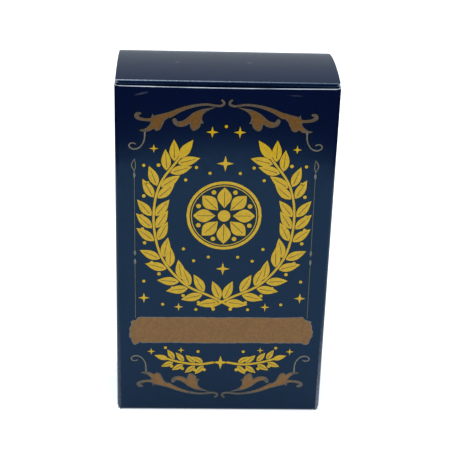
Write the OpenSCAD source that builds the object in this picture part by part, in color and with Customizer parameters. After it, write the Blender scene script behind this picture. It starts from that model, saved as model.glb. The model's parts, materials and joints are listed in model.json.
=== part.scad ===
// Tarot deck in its printed reverse-tuck carton, standing closed on its base.
// Front panel towards -Y, lid hinged along the back, base hinged along the front.

/* [Cards] */
// Width of one card
card_w = 70; // [56:0.5:90]
// Height of one card
card_h = 120; // [88:0.5:150]
// Thickness of one card
card_t = 0.36; // [0.25:0.01:0.5]
// Air between one card and the next
card_air = 0.02; // [0.01:0.01:0.08]
// Corner radius of one card
card_corner_r = 4.5; // [1:0.5:9]

/* [Carton] */
// Thickness of the carton board
board_t = 0.45; // [0.3:0.05:0.7]
// Clearance between the card edges and the side panels
side_room = 1.05; // [0.9:0.05:4]
// Room in front of the cards and behind them, where the tuck flaps go
tuck_room = 2.2; // [2:0.1:6]
// Free height above the cards
head_room = 1.7; // [0.5:0.1:6]
// Clearance between flaps that lie on each other
fold_gap = 0.15; // [0.05:0.05:0.6]
// Outer radius of the four upright creases
corner_r = 1; // [0.8:0.1:2]
// Outer radius of the creases that the lid, the base and the dust flaps turn on
crease_r = 0.9; // [0.8:0.1:1.6]
// Height of the lid's hinge above the top edge of the front panel
front_drop = 1.35; // [0.3:0.05:3]
// How far the free edge of the front panel and of the back panel bows outwards
panel_bow = 0.7; // [0.1:0.1:2]
// Width of the clipped corner at the foot of each upright crease
foot_clip_w = 1.3; // [0.2:0.1:3]
// Height of that clipped corner
foot_clip_h = 1.9; // [0.2:0.1:4]
// Width of the glue flap
glue_w = 12; // [6:0.5:20]
// Slope of the glue flap's ends, in degrees
glue_slope = 20; // [5:1:45]

/* [Lid and base] */
// Height of the lid's front crease above its hinge
lid_rise = 0.3; // [0:0.05:3]
// Height of the lid's bow above a straight lid
lid_bow = 1.4; // [0.4:0.1:3]
// How much narrower the lid and the base are than the carton, at each side
lid_inset = 0.3; // [0.1:0.05:1]
// Outer radius of the creases between the lid or base and its tuck flap
tuck_crease_r = 0.8; // [0.8:0.1:1.5]
// Clearance between a tuck flap's crease and the panel that it goes behind
tuck_gap = 0.35; // [0.3:0.05:0.6]
// Length of a tuck flap from its crease
tuck_len = 11.5; // [8:0.5:12]
// Inward lean of a tuck flap, in degrees
tuck_lean = 5.4; // [5.2:0.1:6]
// How much narrower a tuck flap is than the inside of the carton, at each side
tuck_inset = 0.9; // [0.8:0.1:3]
// Radius of a tuck flap's free corners
tuck_corner_r = 7; // [2:0.5:8]

/* [Dust flaps] */
// Length of a dust flap from its crease
dust_len = 20; // [12:0.5:24]
// Slope of the edge on the hinge's side, in degrees
dust_hinge_slope = 34; // [34:1:50]
// Slope of the edge on the tuck flap's side, in degrees
dust_tuck_slope = 7; // [6:0.5:15]
// Clearance between a dust flap and the crease of the lid or base, and its tuck flap
dust_gap = 0.7; // [0.6:0.1:2]
// Length of the cut across a dust flap's free corners
dust_corner_cut = 3; // [0.5:0.5:4]

/* [Hidden] */
$fn = 96;
arc_step = 15;
bow_columns = 10;
bow_rows = 6;
print_blue = "#2a3a52";
board_grey = "#d8d6cf";
card_white = "#f1ede2";

// The 78 cards, from the front of the pack to the back
major_count = 22;
suits = ["wands", "cups", "swords", "pentacles"];
courts = ["page", "knight", "queen", "king"];
pip_count = 10;
suit_count = pip_count + len(courts);
card_count = major_count + len(suits) * suit_count;
card_pitch = card_t + card_air;
deck_t = card_count * card_pitch - card_air;

// Outer size of the carton, and the heights of what is folded at its ends
box_w = card_w + 2 * (side_room + board_t);
box_d = deck_t + 2 * (tuck_room + board_t);
dust_low_z = board_t + fold_gap;
deck_z = dust_low_z + board_t + fold_gap;
dust_top_z = deck_z + card_h + head_room + board_t;
hinge_z = dust_top_z + fold_gap + board_t;
front_h = hinge_z - front_drop;
flat_w = box_w - 2 * corner_r;
lid_w = box_w - 2 * lid_inset;
side_x = box_w / 2 - crease_r;
hinge_y = box_d / 2 - crease_r;
tuck_y = box_d / 2 - board_t - tuck_gap - tuck_crease_r;
tuck_w = box_w - 2 * (board_t + tuck_inset);

// The lid is an arc over a chord from the back crease to the front crease: half of its turn, its slope at
// each end, and the run that keeps both creases tangent to it
function lid_half_turn(run) = 2 * atan(2 * lid_bow / norm([run, lid_rise]));
function lid_slope(run) = atan(lid_rise / run);
plain_run = hinge_y + tuck_y;
lid_run = plain_run + crease_r * sin(lid_half_turn(plain_run) + lid_slope(plain_run))
        + tuck_crease_r * sin(lid_half_turn(plain_run) - lid_slope(plain_run));
lid_back_angle = lid_half_turn(lid_run) + lid_slope(lid_run);
lid_front_angle = lid_half_turn(lid_run) - lid_slope(lid_run);
lid_turn = lid_back_angle + lid_front_angle;
lid_r = norm([lid_run, lid_rise]) / (2 * sin(lid_turn / 2));

// Points in the Y-Z plane: the back crease's centre, the lid's hinge line, the arc's centre, the lid's front
// edge, the front crease's centre and the top of the tuck flap
function toward(angle) = [cos(angle), sin(angle)];
hinge_centre = [hinge_y, hinge_z - crease_r * cos(lid_back_angle)];
hinge_line = hinge_centre + crease_r * toward(90 - lid_back_angle);
lid_centre = hinge_line - lid_r * toward(90 - lid_back_angle);
lid_edge = lid_centre + lid_r * toward(90 + lid_front_angle);
lid_crease = lid_edge - tuck_crease_r * toward(90 + lid_front_angle);
lid_tuck_top = lid_crease + tuck_crease_r * toward(180 + tuck_lean);
base_crease = [tuck_y, tuck_crease_r];
base_tuck_foot = base_crease + tuck_crease_r * toward(tuck_lean);

// A dust flap's free corners, as distances from its crease and from the hinge line
dust_hinge_side = dust_gap + crease_r * sin(lid_back_angle);
dust_tuck_side = hinge_y + tuck_y + tuck_crease_r - board_t - dust_gap;

function major_name(i) = str("card_major_", i < 10 ? "0" : "", i);
function court_name(s, c) = str("card_", suits[s], "_", courts[c]);
function pips_name(s) = str("cards_", suits[s], "_ace_to_ten");

// Points of a rounded corner around a centre, from one angle to another
function corner(centre, r, from, to) =
    [for (a = [from : arc_step : to]) centre + r * toward(a)];

// Stretches a Y-Z profile along X, centred
module across(width) {
    rotate([90, 0, 90])
        linear_extrude(width, center = true)
            children();
}

// Stretches an X-Z profile along Y
module along(from, to) {
    translate([0, to, 0])
        rotate([90, 0, 0])
            linear_extrude(to - from)
                children();
}

// Section of board bent to an outer radius, between two angles
module bend(r, from, to) {
    intersection() {
        difference() {
            circle(r);
            circle(r - board_t);
        }
        polygon([[0, 0], for (a = [from, (from + to) / 2, to]) 2 * r * toward(a)]);
    }
}

// Outline of the standing carton from the front, with its feet clipped
module foot_clip() {
    foot = box_w / 2 - foot_clip_w;
    along(-box_d, box_d)
        polygon([
            [-foot, 0], [foot, 0], [box_w / 2, foot_clip_h], [box_w / 2, 2 * hinge_z],
            [-box_w / 2, 2 * hinge_z], [-box_w / 2, foot_clip_h]
        ]);
}

// Upright crease around a corner of the carton
module upright_crease(x, y, from, height) {
    translate([x, y, 0])
        linear_extrude(height)
            bend(corner_r, from, from + 90);
}

// How far a panel stands out, from its folded end (up = 0) to its free edge (up = 1), between its creases
function bulge(over, up) = panel_bow * sin(180 * over) * up * up;

// Front panel's sheet above its folded end, bowed out towards its free top edge
module bowed_sheet(left, right, height) {
    columns = bow_columns + 1;
    skin = columns * (bow_rows + 1);
    points = [
        for (depth = [0, board_t]) for (j = [0 : bow_rows]) for (i = [0 : bow_columns])
            let (over = i / bow_columns, up = j / bow_rows)
            [left + over * (right - left), depth - box_d / 2 - bulge(over, up), up * height]
    ];
    outer = [
        for (j = [0 : bow_rows - 1]) for (i = [0 : bow_columns - 1])
            let (a = j * columns + i, b = a + columns)
            each [[a, b, b + 1], [a, b + 1, a + 1]]
    ];
    inner = [for (f = outer) [f[2] + skin, f[1] + skin, f[0] + skin]];
    rim = concat(
        [for (j = [0 : bow_rows]) j * columns],
        [for (i = [1 : bow_columns]) bow_rows * columns + i],
        [for (j = [bow_rows - 1 : -1 : 0]) j * columns + bow_columns],
        [for (i = [bow_columns - 1 : -1 : 1]) i]
    );
    edge = [
        for (k = [0 : len(rim) - 1])
            let (p = rim[k], q = rim[(k + 1) % len(rim)])
            [p, p + skin, q + skin, q]
    ];
    polyhedron(points, concat(outer, inner, edge));
}

module front_panel() {
    color(print_blue)
        intersection() {
            union() {
                translate([0, 0, crease_r])
                    bowed_sheet(-flat_w / 2, flat_w / 2, front_h - crease_r);
                translate([0, -hinge_y, crease_r])
                    across(flat_w) bend(crease_r, 180, 270);
            }
            foot_clip();
        }
}

// The back panel's left edge turns in behind the side panel, to the glue flap
module back_panel() {
    left = -box_w / 2 + board_t + corner_r;
    color(print_blue)
        intersection() {
            union() {
                translate([0, 0, hinge_centre.y])
                    rotate([180, 0, 0])
                        bowed_sheet(left, flat_w / 2, hinge_centre.y);
                upright_crease(left, box_d / 2 - corner_r, 90, hinge_centre.y);
                translate([(flat_w / 2 + left) / 2, hinge_centre.x, hinge_centre.y])
                    across(flat_w / 2 - left) bend(crease_r, 0, 90 - lid_back_angle);
            }
            foot_clip();
        }
}

// Right side panel between its upright creases, with the creases of its two dust flaps
module side_wall(back_end) {
    low = dust_low_z + crease_r;
    high = dust_top_z - crease_r;
    translate([box_w / 2 - board_t, -box_d / 2 + corner_r, low])
        cube([board_t, back_end + box_d / 2 - corner_r, high - low]);
    along(hinge_y - dust_tuck_side, hinge_y - dust_hinge_side)
        translate([side_x, high]) bend(crease_r, 0, 90);
    along(dust_hinge_side - hinge_y, dust_tuck_side - hinge_y)
        translate([side_x, low]) bend(crease_r, 270, 360);
}

module right_side_panel() {
    color(print_blue) {
        side_wall(box_d / 2 - corner_r);
        intersection() {
            union() {
                upright_crease(flat_w / 2, -box_d / 2 + corner_r, 270, front_h);
                upright_crease(flat_w / 2, box_d / 2 - corner_r, 0, hinge_centre.y);
            }
            foot_clip();
        }
    }
}

// Its back edge is cut, and covers the glue flap
module left_side_panel() {
    color(print_blue) {
        mirror([1, 0, 0]) side_wall(box_d / 2 - fold_gap);
        intersection() {
            upright_crease(-flat_w / 2, -box_d / 2 + corner_r, 180, front_h);
            foot_clip();
        }
    }
}

module glue_flap() {
    root_y = box_d / 2 - corner_r;
    low = dust_low_z + crease_r;
    high = dust_top_z - crease_r;
    drop = glue_w * tan(glue_slope);
    color(board_grey)
        translate([-box_w / 2 + board_t, 0, 0])
            rotate([90, 0, 90])
                linear_extrude(board_t)
                    polygon([
                        [root_y, low], [root_y, high],
                        [root_y - glue_w, high - drop], [root_y - glue_w, low + drop]
                    ]);
}

// Bowed lid, with the crease of its tuck flap, both drawn from the line where they meet; its hinge corners
// are clipped clear of the upright creases
module lid_panel() {
    clip = (lid_w - flat_w) / 2;
    color(print_blue)
        intersection() {
            translate([0, lid_edge.x, lid_edge.y])
                rotate([lid_front_angle, 0, 0])
                    union() {
                        translate([0, 0, -lid_r])
                            across(lid_w) bend(lid_r, 90 - lid_turn, 90);
                        translate([0, 0, -tuck_crease_r])
                            across(tuck_w) bend(tuck_crease_r, 90, 180 + tuck_lean - lid_front_angle);
                    }
            linear_extrude(2 * hinge_z)
                polygon([
                    [-flat_w / 2, hinge_line.x], [-lid_w / 2, hinge_line.x - clip], [-lid_w / 2, -box_d],
                    [lid_w / 2, -box_d], [lid_w / 2, hinge_line.x - clip], [flat_w / 2, hinge_line.x]
                ]);
        }
}

// Flat tuck flap with its crease on X and its outer face down; the outer face's line is its turning line
module tuck_flap() {
    reach = [tuck_w / 2 - tuck_corner_r, tuck_len - tuck_corner_r];
    linear_extrude(board_t)
        polygon([
            [-tuck_w / 2, 0], [tuck_w / 2, 0],
            each corner(reach, tuck_corner_r, 0, 90),
            each corner([-reach.x, reach.y], tuck_corner_r, 90, 180)
        ]);
}

module lid_tuck_flap() {
    color(print_blue)
        translate([0, lid_tuck_top.x, lid_tuck_top.y])
            rotate([tuck_lean - 90, 0, 0])
                tuck_flap();
}

// Flat base, with the crease of its tuck flap
module base_panel() {
    color(print_blue)
        union() {
            translate([-lid_w / 2, -hinge_y, 0])
                cube([lid_w, hinge_y + tuck_y, board_t]);
            translate([0, base_crease.x, base_crease.y])
                across(tuck_w) bend(tuck_crease_r, 270, 360 + tuck_lean);
        }
}

module base_tuck_flap() {
    color(print_blue)
        translate([0, base_tuck_foot.x, base_tuck_foot.y])
            rotate([tuck_lean + 90, 0, 0])
                tuck_flap();
}

// Dust flap of the right side panel's top edge, lying on its inner face; X runs outwards to the crease
module dust_flap() {
    tuck_corner = [-dust_len, dust_len * tan(dust_tuck_slope) - dust_tuck_side];
    hinge_corner = [-dust_len, -dust_len * tan(dust_hinge_slope) - dust_hinge_side];
    linear_extrude(board_t)
        polygon([
            [0, -dust_hinge_side], [0, -dust_tuck_side],
            tuck_corner + dust_corner_cut * toward(-dust_tuck_slope),
            tuck_corner + dust_corner_cut * toward(90),
            hinge_corner + dust_corner_cut * toward(-90),
            hinge_corner + dust_corner_cut * toward(dust_hinge_slope)
        ]);
}

module top_dust_flap_right() {
    color(board_grey)
        translate([side_x, hinge_y, dust_top_z - board_t])
            dust_flap();
}

module top_dust_flap_left() {
    mirror([1, 0, 0]) top_dust_flap_right();
}

module bottom_dust_flap_right() {
    color(board_grey)
        translate([side_x, -hinge_y, dust_low_z])
            mirror([0, 1, 0]) dust_flap();
}

module bottom_dust_flap_left() {
    mirror([1, 0, 0]) bottom_dust_flap_right();
}

// One card standing at its place in the pack, counted from the front
module card(place) {
    reach = [card_w / 2 - card_corner_r, card_h / 2 - card_corner_r];
    front = -deck_t / 2 + place * card_pitch;
    color(card_white)
        translate([0, 0, deck_z + card_h / 2])
            along(front, front + card_t)
                polygon([
                    each corner(reach, card_corner_r, 0, 90),
                    each corner([-reach.x, reach.y], card_corner_r, 90, 180),
                    each corner(-reach, card_corner_r, 180, 270),
                    each corner([reach.x, -reach.y], card_corner_r, 270, 360)
                ]);
}

// Place of a suit's card, with the ace first and the king last
function suit_place(s, rank) = major_count + s * suit_count + rank;

front_panel();
back_panel();
left_side_panel();
right_side_panel();
glue_flap();
lid_panel();
lid_tuck_flap();
top_dust_flap_left();
top_dust_flap_right();
base_panel();
base_tuck_flap();
bottom_dust_flap_left();
bottom_dust_flap_right();
for (i = [0 : major_count - 1])
    card(i);
for (s = [0 : len(suits) - 1])
    for (c = [0 : len(courts) - 1])
        card(suit_place(s, pip_count + c));
for (s = [0 : len(suits) - 1])
    for (p = [0 : pip_count - 1])
        card(suit_place(s, p));
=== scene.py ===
"""A tarot deck in its printed tuck carton: boards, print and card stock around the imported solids."""
import json
import math
import random

import bmesh
import bpy
from mathutils import Matrix, Vector
from mathutils.geometry import delaunay_2d_cdt


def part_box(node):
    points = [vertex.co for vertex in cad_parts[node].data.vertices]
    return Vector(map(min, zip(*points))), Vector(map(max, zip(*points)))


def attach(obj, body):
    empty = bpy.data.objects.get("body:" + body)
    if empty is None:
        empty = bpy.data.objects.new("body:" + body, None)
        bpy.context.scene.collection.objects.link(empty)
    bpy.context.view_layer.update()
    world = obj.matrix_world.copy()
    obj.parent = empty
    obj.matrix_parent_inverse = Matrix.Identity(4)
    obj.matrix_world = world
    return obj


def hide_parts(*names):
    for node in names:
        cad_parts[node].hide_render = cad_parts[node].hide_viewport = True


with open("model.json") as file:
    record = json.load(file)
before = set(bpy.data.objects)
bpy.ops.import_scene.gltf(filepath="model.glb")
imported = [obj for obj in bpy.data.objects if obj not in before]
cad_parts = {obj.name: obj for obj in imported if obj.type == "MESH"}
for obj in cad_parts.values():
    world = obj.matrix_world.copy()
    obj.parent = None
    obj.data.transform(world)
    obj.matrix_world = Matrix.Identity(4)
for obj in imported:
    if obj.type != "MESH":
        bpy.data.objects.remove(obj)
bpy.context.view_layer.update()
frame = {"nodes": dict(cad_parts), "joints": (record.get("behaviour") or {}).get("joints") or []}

# All sizes below are millimetres in the frame of the solids; meshes turn them to metres.
MM = 0.001


def box_mm(node):
    """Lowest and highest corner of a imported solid."""
    low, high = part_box(node)
    return low / MM, high / MM


def toward(degrees):
    """Unit vector in a plane, at an angle from its first axis."""
    return Vector((math.cos(math.radians(degrees)), math.sin(math.radians(degrees))))


def spread(start, end, steps):
    """Evenly spaced values from start to end, both included."""
    return [start + (end - start) * k / steps for k in range(steps + 1)]


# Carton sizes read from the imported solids
joint_at = {j["name"]: Vector(j["pos_m"]) / MM for j in frame["joints"] if "pos_m" in j}
left_wall, right_wall = box_mm("left_side_panel"), box_mm("right_side_panel")
BOX_W = right_wall[1].x - left_wall[0].x
BOX_D = right_wall[1].y - right_wall[0].y
FRONT_H = box_mm("front_panel")[1].z
LID_W = 2 * box_mm("lid_panel")[1].x
TUCK_W = 2 * box_mm("lid_tuck_flap")[1].x
SIDE_FOLD_X = joint_at["top_dust_right_fold"].x
DUST_TOP_Z = joint_at["top_dust_right_fold"].z
DUST_LOW_Z = joint_at["bottom_dust_right_fold"].z
LEFT_WALL_BACK_Y = left_wall[1].y

# Board, creases and flaps, as the carton was cut; slopes and leans are degrees
BOARD_T = 0.45
CREASE_R = 0.9
TUCK_CREASE_R = 0.8
CORNER_R = 1.5
PANEL_BOW = 0.7
FOOT_CLIP_W, FOOT_CLIP_H, FOOT_LEFT = 1.3, 1.9, 0.1
LID_BACK_SLOPE, LID_FRONT_SLOPE, LID_CORNER_CLIP = 10.3096, 9.2587, 0.7
TUCK_LEAN = 5.4
TUCK_LEN, TUCK_CORNER_R = 11.5, 7
DUST_HINGE_SLOPE, DUST_TUCK_SLOPE, DUST_CORNER_CUT = 34, 7, 3
GLUE_W, GLUE_SLOPE = 11.5, 20
BARED_EDGE, BARED_LEAN, LAST_PRINT_ROW = 0.14, 0.1, 0.1
HINGE_GAP = 0.01
SAME_PLACE = 0.001

# Steps of the boards' grids. The lid's second row is where the clip of its back corners has ended, and its
# angles are about the middle of the lid's arc.
ARC_STEPS = 8
PANEL_COLUMNS, PANEL_ROWS = 28, 30
WALL_REACH, WALL_COLUMNS, WALL_END_ROWS = 14, 14, 4
GLUE_ROWS, GLUE_COLUMNS = 6, 12
LID_CLIP_TURN, LID_THIRD_ROW, LID_ROWS = 0.42, 80.5, 24
BASE_ROWS = 16
TUCK_ROWS, TUCK_CORNER_ROWS = 5, 10
DUST_ROWS, DUST_COLUMNS = 8, 12

# How far the film is scuffed at the creases, where 1 or more is gone, and how that falls along them. At the
# lid's tuck crease and the side panels' front foot this pale line is partly scuffed film and partly a painted
# highlight; at the back crease it is scuffed film only.
BACK_CREASE_WEAR = 0.3
LID_CREASE_WEAR_AND_HIGHLIGHT, LID_LEFT_WEAR_AND_HIGHLIGHT, LID_WEAR_AND_HIGHLIGHT_FALL = 0.3, 1.1, 1.5
LEFT_FOOT_WEAR_AND_HIGHLIGHT, RIGHT_FOOT_WEAR_AND_HIGHLIGHT, FOOT_WEAR_AND_HIGHLIGHT_REACH = 0.25, 0.6, 0.35

FLAT_W = BOX_W - 2 * CORNER_R
FOLD_Y = BOX_D / 2 - CREASE_R
WALL_LOW_Z = DUST_LOW_Z + CREASE_R
WALL_HIGH_Z = DUST_TOP_Z - CREASE_R
lid_hinge = joint_at["lid_hinge"].yz
BACK_CREASE = lid_hinge - CREASE_R * toward(90 - LID_BACK_SLOPE)


def linear(hex_colour):
    """sRGB hex colour as linear RGBA."""
    channels = [int(hex_colour[k : k + 2], 16) / 255 for k in (1, 3, 5)]
    return [c / 12.92 if c <= 0.04045 else ((c + 0.055) / 1.055) ** 2.4 for c in channels] + [1]


# Sockets of a Mix node between colours, by number because their names repeat
FACTOR, COLOUR_A, COLOUR_B, COLOUR_OUT = 0, 6, 7, 2


def add_node(tree, kind, inputs=None, **settings):
    """Adds a shader node with its settings; an input takes a value, or a socket to link from."""
    node = tree.nodes.new("ShaderNode" + kind)
    for name, value in settings.items():
        setattr(node, name, value)
    for name, value in (inputs or {}).items():
        if isinstance(value, bpy.types.NodeSocket):
            tree.links.new(value, node.inputs[name])
        else:
            node.inputs[name].default_value = value
    return node


def new_material(name):
    """An empty material, its node tree, and object coordinates in millimetres."""
    material = bpy.data.materials.new(name)
    material.use_nodes = True
    tree = material.node_tree
    tree.nodes.clear()
    place = add_node(tree, "TexCoord").outputs["Object"]
    place = add_node(tree, "VectorMath", {0: place, "Scale": 1 / MM}, operation="SCALE").outputs[0]
    return material, tree, place


def finish_material(tree, inputs):
    """Ends a material in one principled shader."""
    shader = add_node(tree, "BsdfPrincipled", inputs)
    add_node(tree, "OutputMaterial", {"Surface": shader.outputs[0]})


# Spans of a noise's values that a mix runs over: the narrower, the harder its patches
EVEN_SPAN = {"From Min": 0.3, "From Max": 0.7}
MOTTLE_SPAN = {"From Min": 0.35, "From Max": 0.65}
CRACK_SPAN = {"From Min": 0.15, "From Max": 0.85}

# Film over the print: ripples of the glue, and the board's fibres showing through. The fibres are finer
# than a pixel, so their grain is drawn at 0.7 mm to show.
FILM_RIPPLE_MM, FILM_RIPPLE_DEPTH = 7.0, 0.012
FILM_GRAIN_MM, FILM_GRAIN_DEPTH = 0.7, 0.0006
FILM_IOR, FILM_SPECULAR, FILM_TINT = 1.45, 0.345, "#96d8f8"
FILM_ROUGHNESS = {"To Min": 0.12, "To Max": 0.16}
# The pale tone is scuffed film at the spots and the back crease, and partly a painted highlight along the
# lid's tuck crease and the side panels' front foot
RUBBED_ROUGHNESS, RUBBED_AND_HIGHLIGHT_TONE = 0.45, "#b2b3b9"
CRACK_MM = 0.9
# Rubbed spots on the front panel's film and the lid's: middle, half sizes, slope on the front panel in
# degrees, and how far the film is gone; a spot fades in from its rim to a share of its half sizes
SCUFFS = [
    ((-27.7, -17.6, 120.2), (2.8, 0.6, 0.45), -15, 0.16),
    ((21.8, -17.8, 120.3), (2.8, 0.6, 0.3), 3, 0.1),
    ((-16.4, -0.9, 125.5), (0.9, 0.6, 0.5), 0, 0.33),
    ((7.5, -0.4, 125.5), (1.6, 0.5, 0.5), 0, 0.28),
]
SCUFF_SPAN = {"From Min": 1.0, "From Max": 0.2}


def laminated_print(ink_name, ink, ink_dark, mottle_mm, mottle_share, scuffs=()):
    """Offset ink on folding board under a glossy film: even colour with a slight mottle, a sharp but faintly
    rippled reflection, grey cracks where a crease has broken the film, and dull scuffed spots. The pale
    cracked line along the lid's tuck crease and the side panels' front foot is partly scuffed film and partly
    a painted highlight."""
    material, tree, place = new_material(ink_name + "_gloss_laminated")
    mottle = add_node(tree, "TexNoise", {"Vector": place, "Scale": 1 / mottle_mm, "Detail": 3.0})
    mottle = mottle.outputs[0]
    share = add_node(tree, "MapRange", {"Value": mottle, **MOTTLE_SPAN, "To Max": mottle_share})
    colour = add_node(tree, "Mix", {FACTOR: share.outputs[0], COLOUR_A: linear(ink),
                                    COLOUR_B: linear(ink_dark)}, data_type="RGBA").outputs[COLOUR_OUT]
    rough = add_node(tree, "MapRange", {"Value": mottle, **EVEN_SPAN, **FILM_ROUGHNESS}).outputs[0]

    if scuffs:
        worn_and_highlight = add_node(tree, "Attribute", attribute_name="wear_and_highlight").outputs["Fac"]
        cracks = add_node(tree, "TexNoise", {"Vector": place, "Scale": 1 / CRACK_MM, "Detail": 4.0})
        cracks = add_node(tree, "MapRange", {"Value": cracks.outputs[0], **CRACK_SPAN}).outputs[0]
        rubbed_and_highlight = add_node(tree, "Math", {0: worn_and_highlight, 1: cracks}, operation="MULTIPLY").outputs[0]
        for middle, half_sizes, slope, gone in scuffs:
            turn = (0, math.radians(slope), 0)
            spot = add_node(tree, "Mapping", {"Vector": place, "Location": middle, "Rotation": turn,
                                              "Scale": half_sizes}, vector_type="TEXTURE").outputs[0]
            reach = add_node(tree, "VectorMath", {0: spot}, operation="LENGTH").outputs["Value"]
            inside = add_node(tree, "MapRange", {"Value": reach, **SCUFF_SPAN, "To Max": gone}).outputs[0]
            streaks = add_node(tree, "Math", {0: inside, 1: cracks}, operation="MULTIPLY").outputs[0]
            rubbed_and_highlight = add_node(tree, "Math", {0: rubbed_and_highlight, 1: streaks}, operation="MAXIMUM").outputs[0]
        # Pale tone over the scuffs and cracked creases; along the lid's tuck crease and the side panels' foot
        # it is partly a painted highlight
        colour = add_node(tree, "Mix", {FACTOR: rubbed_and_highlight, COLOUR_A: colour, COLOUR_B: linear(RUBBED_AND_HIGHLIGHT_TONE)},
                          data_type="RGBA").outputs[COLOUR_OUT]
        rough = add_node(tree, "Mix", {"Factor": rubbed_and_highlight, "A": rough, "B": RUBBED_ROUGHNESS}).outputs[0]

    ripple = add_node(tree, "TexNoise", {"Vector": place, "Scale": 1 / FILM_RIPPLE_MM, "Detail": 1.0})
    grain = add_node(tree, "TexNoise", {"Vector": place, "Scale": 1 / FILM_GRAIN_MM, "Detail": 2.0})
    waves = add_node(tree, "Bump", {"Height": ripple.outputs[0], "Distance": FILM_RIPPLE_DEPTH * MM})
    surface = add_node(tree, "Bump", {"Height": grain.outputs[0], "Distance": FILM_GRAIN_DEPTH * MM,
                                      "Normal": waves.outputs[0]})
    finish_material(tree, {"Base Color": colour, "Roughness": rough, "Normal": surface.outputs[0],
                           "IOR": FILM_IOR, "Specular IOR Level": FILM_SPECULAR,
                           "Specular Tint": linear(FILM_TINT)})
    return material


# Bare board and its cut edge. Fibres and pulp are a few hundredths of a millimetre wide, so both are
# drawn coarser to show. The fibres run up the board, and flecks fade in from their rim.
PAPER_IOR, PAPER_SPECULAR = 1.45, 0.25
BOARD_FIBRE_MM, BOARD_FIBRE_DEPTH = 0.5, 0.02
BOARD_FIBRE_RUN = (1.0, 1.0, 0.25)
BOARD_TONES, BOARD_FLECK = ("#b3b0a7", "#c7c4bb"), "#7d766a"
BOARD_FLECK_MM = 2.5
FLECK_SPAN = {"From Min": 0.12, "From Max": 0.06, "To Min": 0.0, "To Max": 0.35}
EDGE_PULP_MM, EDGE_PULP_DEPTH = 0.35, 0.03
EDGE_SOIL_MM, EDGE_TONES = 9.0, ("#7d828c", "#b6bac1")


def uncoated_board():
    """Grey-white recycled back of folding board: matt, with fibres and flecks."""
    material, tree, place = new_material("uncoated_folding_board_back")
    run = add_node(tree, "Mapping", {"Vector": place, "Scale": BOARD_FIBRE_RUN}).outputs[0]
    fibre = add_node(tree, "TexNoise", {"Vector": run, "Scale": 1 / BOARD_FIBRE_MM, "Detail": 5.0})
    fibre = fibre.outputs[0]
    share = add_node(tree, "MapRange", {"Value": fibre, **EVEN_SPAN}).outputs[0]
    dark, pale = [linear(tone) for tone in BOARD_TONES]
    colour = add_node(tree, "Mix", {FACTOR: share, COLOUR_A: dark, COLOUR_B: pale},
                      data_type="RGBA").outputs[COLOUR_OUT]
    fleck = add_node(tree, "TexVoronoi", {"Vector": place, "Scale": 1 / BOARD_FLECK_MM}).outputs[0]
    fleck = add_node(tree, "MapRange", {"Value": fleck, **FLECK_SPAN}).outputs[0]
    colour = add_node(tree, "Mix", {FACTOR: fleck, COLOUR_A: colour, COLOUR_B: linear(BOARD_FLECK)},
                      data_type="RGBA").outputs[COLOUR_OUT]
    bump = add_node(tree, "Bump", {"Height": fibre, "Distance": BOARD_FIBRE_DEPTH * MM}).outputs[0]
    finish_material(tree, {"Base Color": colour, "Normal": bump, "Roughness": 0.85,
                           "IOR": PAPER_IOR, "Specular IOR Level": PAPER_SPECULAR})
    return material


def cut_board_edge():
    """Die-cut edge of folding board: white pulp crushed by the knife, a little furry and soiled."""
    material, tree, place = new_material("die_cut_board_edge")
    pulp = add_node(tree, "TexNoise", {"Vector": place, "Scale": 1 / EDGE_PULP_MM, "Detail": 4.0})
    soil = add_node(tree, "TexNoise", {"Vector": place, "Scale": 1 / EDGE_SOIL_MM, "Detail": 2.0})
    share = add_node(tree, "MapRange", {"Value": soil.outputs[0], **EVEN_SPAN}).outputs[0]
    soiled, clean = [linear(tone) for tone in EDGE_TONES]
    colour = add_node(tree, "Mix", {FACTOR: share, COLOUR_A: soiled, COLOUR_B: clean},
                      data_type="RGBA").outputs[COLOUR_OUT]
    bump = add_node(tree, "Bump", {"Height": pulp.outputs[0], "Distance": EDGE_PULP_DEPTH * MM}).outputs[0]
    finish_material(tree, {"Base Color": colour, "Normal": bump, "Roughness": 0.8,
                           "IOR": PAPER_IOR, "Specular IOR Level": PAPER_SPECULAR})
    return material


# The navy is so deep that the eye sees the film's reflections on it first
NAVY = laminated_print("navy_offset_print", "#050d2a", "#040a23", 3.0, 0.8, SCUFFS)
INSIDE = uncoated_board()
CUT_EDGE = cut_board_edge()
BOARD_FINISHES = [NAVY, INSIDE, CUT_EDGE]
PRINTED, BARE, CUT = range(3)


def add_object(name, mesh, materials):
    """Turns a bmesh into an object of the scene."""
    data = bpy.data.meshes.new(name)
    mesh.to_mesh(data)
    mesh.free()
    for material in materials:
        data.materials.append(material)
    made = bpy.data.objects.new(name, data)
    bpy.context.scene.collection.objects.link(made)
    return made


def add_piece(name, body, mesh, materials):
    """Turns a bmesh into a piece that rides on a body."""
    piece = add_object(name, mesh, materials)
    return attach(piece, body)


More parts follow.
